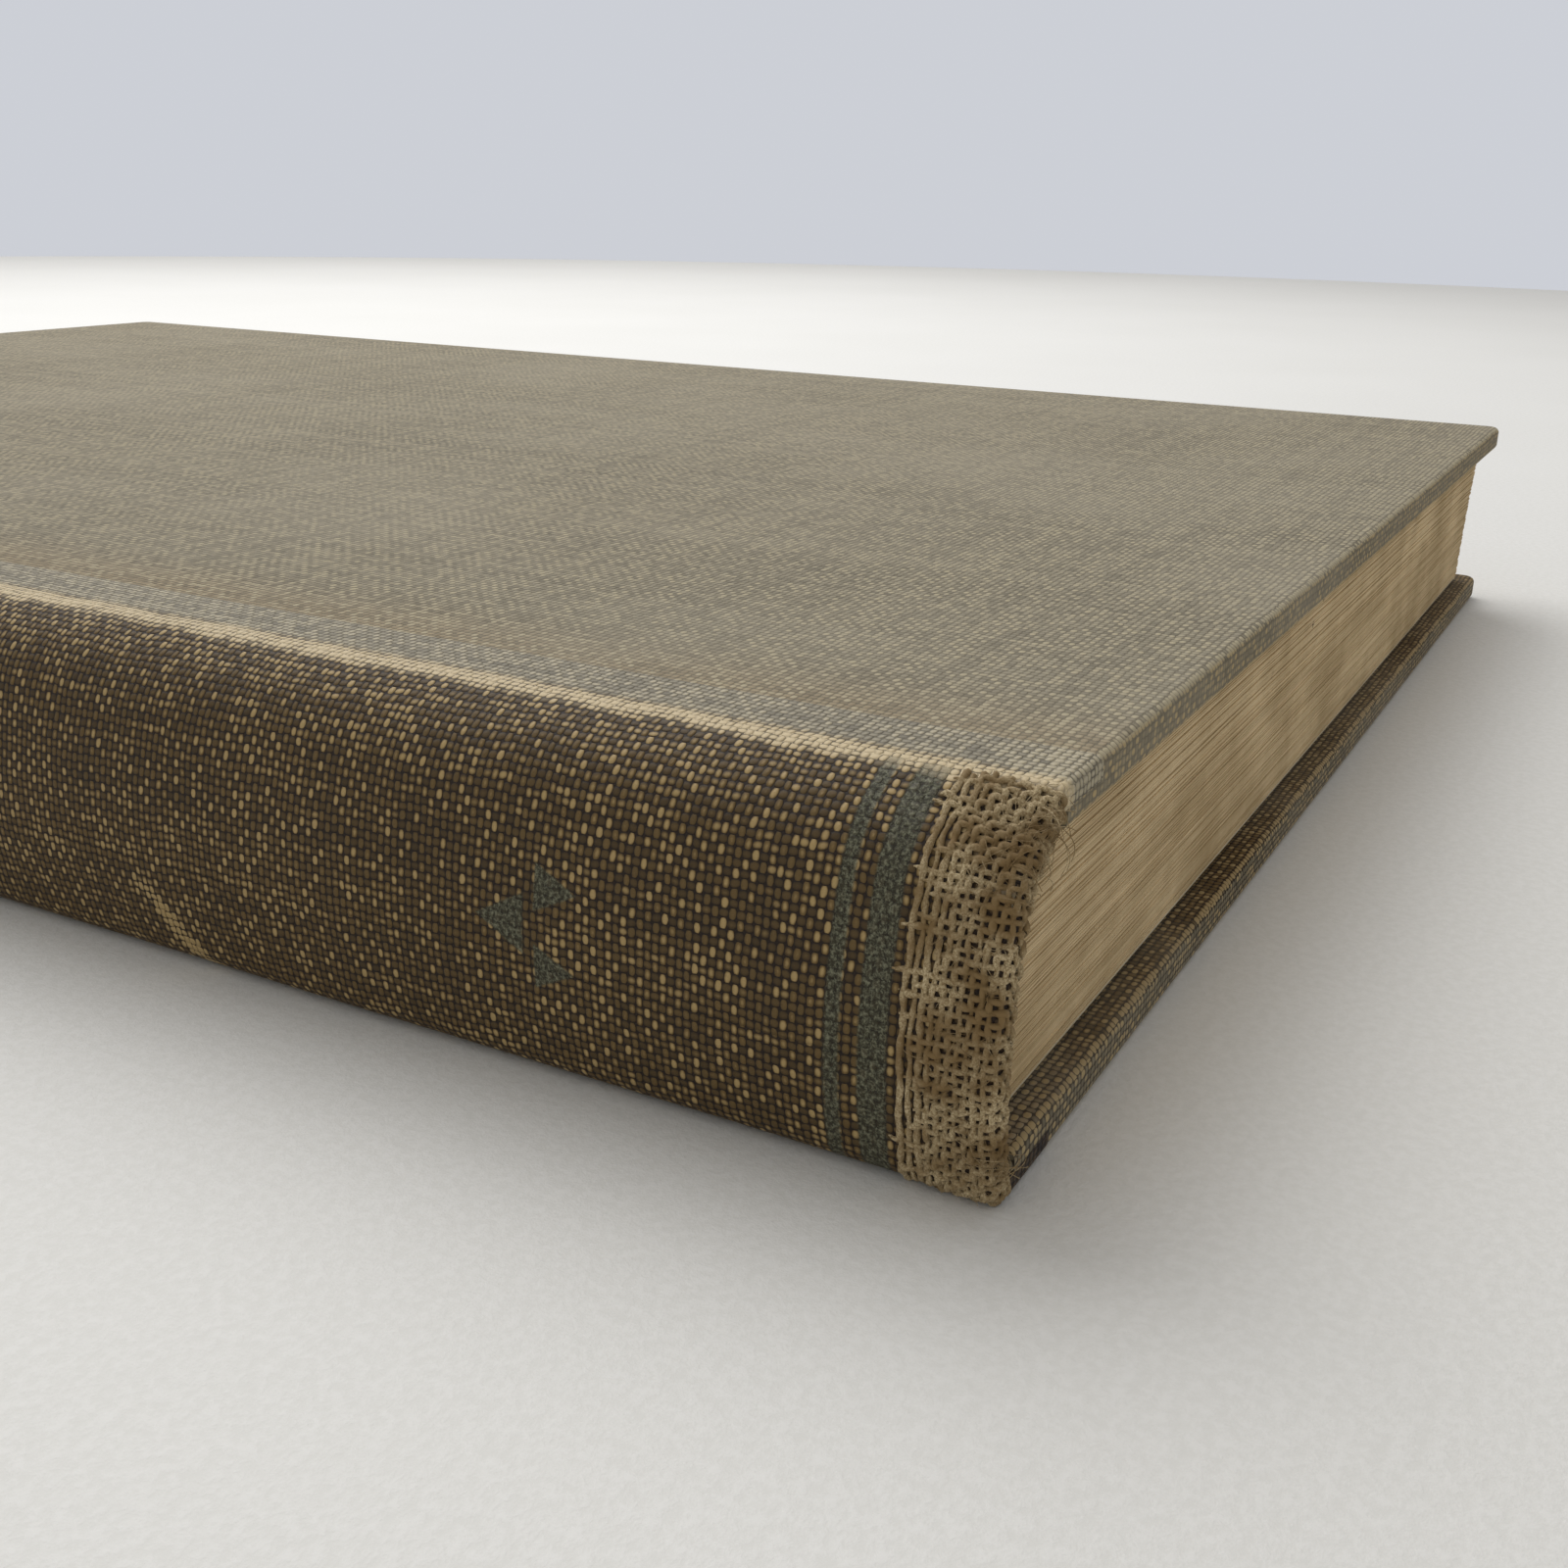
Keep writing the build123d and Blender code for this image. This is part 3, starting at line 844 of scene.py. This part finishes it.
# %% A tree that scatters hairs
hairs = bpy.data.node_groups.new("loose fibres", "GeometryNodeTree")
sizes = [("Density", "NodeSocketFloat"), ("Length", "NodeSocketFloat"), ("Radius", "NodeSocketFloat"),
         ("Seed", "NodeSocketInt"), ("Material", "NodeSocketMaterial")]
hairs.interface.new_socket("Geometry", in_out="INPUT", socket_type="NodeSocketGeometry")
for socket_name, kind in sizes:
    hairs.interface.new_socket(socket_name, in_out="INPUT", socket_type=kind)
hairs.interface.new_socket("Geometry", in_out="OUTPUT", socket_type="NodeSocketGeometry")
given = hairs.nodes.new("NodeGroupInput").outputs
spots = add_node(hairs, "GeometryNodeDistributePointsOnFaces",
                 {"Mesh": given["Geometry"], "Density": given["Density"], "Seed": given["Seed"]})
half = calc(hairs, "MULTIPLY", given["Length"], 0.45)
tip = add_node(hairs, "ShaderNodeCombineXYZ", {0: given["Length"], 2: calc(hairs, "MULTIPLY", half, 0.5)})
knee = add_node(hairs, "ShaderNodeCombineXYZ", {0: half, 1: calc(hairs, "MULTIPLY", half, 0.6), 2: half})
bow = add_node(hairs, "GeometryNodeCurveQuadraticBezier",
               {"Resolution": 7, "Start": (0, 0, 0), "Middle": knee.outputs[0], "End": tip.outputs[0]})
section = add_node(hairs, "GeometryNodeCurvePrimitiveCircle", {"Resolution": 4, "Radius": given["Radius"]})
hair = add_node(hairs, "GeometryNodeCurveToMesh",
                {"Curve": bow.outputs[0], "Profile Curve": section.outputs[0], "Fill Caps": True})
spin = add_node(hairs, "FunctionNodeRandomValue", {0: (0, 0, 0), 1: (0.5, 0.5, 6.28), "Seed": given["Seed"]},
                data_type="FLOAT_VECTOR")
turns = {"Rotation": spots.outputs["Rotation"], "Rotate By": spin.outputs[0]}
turned = add_node(hairs, "FunctionNodeRotateRotation", turns, rotation_space="LOCAL")
grow = add_node(hairs, "FunctionNodeRandomValue", {2: 0.35, 3: 1.2, "Seed": given["Seed"]}, data_type="FLOAT")
planted = add_node(hairs, "GeometryNodeInstanceOnPoints",
                   {"Points": spots.outputs["Points"], "Instance": hair.outputs[0],
                    "Rotation": turned.outputs[0], "Scale": grow.outputs[1]})
real = add_node(hairs, "GeometryNodeRealizeInstances", {"Geometry": planted.outputs[0]})
dressed = add_node(hairs, "GeometryNodeSetMaterial",
                   {"Geometry": real.outputs[0], "Material": given["Material"]})
hairs.links.new(dressed.outputs[0], hairs.nodes.new("NodeGroupOutput").inputs[0])


def grow_hairs(name, host, **values):
    """Run the tree on a host mesh and keep its result as a plain mesh."""
    modifier = host.modifiers.new("hairs", "NODES")
    modifier.node_group = hairs
    for item in hairs.interface.items_tree:
        if item.in_out == "INPUT" and item.name in values:
            modifier[item.identifier] = values[item.name]
    bpy.context.view_layer.update()
    evaluated = host.evaluated_get(bpy.context.evaluated_depsgraph_get())
    mesh = bpy.data.meshes.new_from_object(evaluated)
    mesh.name = name
    made = bpy.data.objects.new(name, mesh)
    bpy.context.scene.collection.objects.link(made)
    host.modifiers.remove(modifier)
    bpy.data.objects.remove(host)
    return made


def bed(name, along_from, along_to, way_from, way_to):
    """A patch of the cloth's surface for hairs to stand on."""
    along = np.linspace(along_from, along_to, 40)[:, None]
    ways = np.linspace(way_from, way_to, 12)[None, :]
    patch = cloth_point(along, ways, 0.12 * MM)
    return make_mesh(name, patch, grid_faces(40, 12))


# name, patch round the spine, patch along the cloth, hairs per square metre, length, radius, seed
rear = -whole_run
tufts = [
    ("tail", (-1.0 * MM, rear + 3.5 * MM), (0.9 * MM, 4.5 * MM), 1.6e6, 1.1 * MM, 0.016 * MM, 3),
    ("cap", (-1.0 * MM, -7.5 * MM), (0.1 * MM, 2.6 * MM), 5.0e6, 1.9 * MM, 0.02 * MM, 11),
    ("corner", (rear + 5.5 * MM, rear + 2.8 * MM), (0.1 * MM, 2.2 * MM), 6.0e6, 1.8 * MM, 0.02 * MM, 5),
]
for tuft, round_range, way_range, density, length, radius, seed in tufts:
    host = bed(f"{tuft}_bed", *round_range, *way_range)
    fluff = grow_hairs(
        f"loose_fibres_{tuft}", host,
        Density=density, Length=length, Radius=radius, Seed=seed, Material=bare_material,
    )
    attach(fluff, "root")
    print(fluff.name, len(fluff.data.polygons), "faces")

# %% [markdown]
# ## Table
# The book lies on a pale table. It is staging.

# %% Table
table_radius = 0.8
table_height = -0.02 * MM
rim_points = 96
rim = np.linspace(0, 2 * math.pi, rim_points + 1)[:-1]
disc = np.column_stack([
    table_radius * np.cos(rim), table_radius * np.sin(rim), np.full(rim_points, table_height),
])
table = ragged_mesh("table_top", disc, [list(range(rim_points))])
table_material, tree, shader = new_material("table_white")
where = add_node(tree, "ShaderNodeTexCoord").outputs["Object"]
grit = ramp(tree, noise(tree, where, 1500, 3, 0.7), 0.3, 0.7)
cloud = noise(tree, where, 14, 3)
mottle = calc(tree, "MULTIPLY_ADD", grit, 0.5, calc(tree, "MULTIPLY", cloud, 0.5))
pale = blend_colours(tree, mottle, linear(218, 217, 212), linear(232, 231, 228))
finish_surface(tree, shader, pale, grit, 0.02 * MM, 0.6)
table.data.materials.append(table_material)

# %% [markdown]
# ## Light
# A large soft lamp stands behind the book and above it, a weak one on the camera's side, and the world
# fills the shade. The background is pale, so the world looks brighter than the light that it gives.

# %% Lamps and world
scene = bpy.context.scene
scene.view_settings.view_transform = "Standard"


def soft_lamp(name, place, aim, size, power):
    """A square lamp that faces a point."""
    data = bpy.data.lights.new(name, "AREA")
    data.size = size
    data.energy = power
    lamp = bpy.data.objects.new(name, data)
    lamp.location = place
    lamp.rotation_euler = (Vector(aim) - Vector(place)).to_track_quat("-Z", "Y").to_euler()
    scene.collection.objects.link(lamp)
    return lamp


soft_lamp("window", (0.28, 0.34, 0.62), (0, 0, 0), 0.7, 5.1)
soft_lamp("room", (-0.6, -0.2, 0.45), (-0.05, -0.05, 0), 0.8, 0.7)
world = bpy.data.worlds.new("room_light")
world.use_nodes = True
scene.world = world
world_tree = world.node_tree
paths = add_node(world_tree, "ShaderNodeLightPath").outputs
seen = calc(world_tree, "MAXIMUM", paths["Is Camera Ray"], paths["Is Glossy Ray"])
seen = calc(world_tree, "MAXIMUM", seen, paths["Is Transmission Ray"])
sky = world_tree.nodes["Background"].inputs
# the world's light on the book is warm and dim, and the background that is seen is pale
air = blend_colours(world_tree, seen, (1.0, 0.98, 0.95, 1), linear(203, 206, 213))
world_tree.links.new(air, sky["Color"])
world_tree.links.new(calc(world_tree, "MULTIPLY_ADD", seen, 0.61, 0.39), sky["Strength"])

# %% [markdown]
# ## The camera
# It stands off the tail end of the spine and looks across the book, a little down. A heading, a dip
# and a slight roll give the three axes of its frame.

# %% Camera
camera_place = Vector((-142.18, -136.09, 46.36)) * MM
azimuth, dip, roll = math.radians(28.468), math.radians(19.565), math.radians(1.0885)
look = Vector((math.cos(azimuth) * math.cos(dip), math.sin(azimuth) * math.cos(dip), -math.sin(dip)))
right = look.cross(Vector((0, 0, 1))).normalized()
up = right.cross(look)
right_rolled = right * math.cos(roll) + up * math.sin(roll)
up_rolled = up * math.cos(roll) - right * math.sin(roll)
camera_data = bpy.data.cameras.new("view")
camera_data.lens = 39.38
camera_data.clip_start = 0.005
camera = bpy.data.objects.new("view", camera_data)
axes = Matrix((right_rolled, up_rolled, -look)).transposed().to_4x4()
camera.matrix_world = Matrix.Translation(camera_place) @ axes
scene.collection.objects.link(camera)
scene.camera = camera
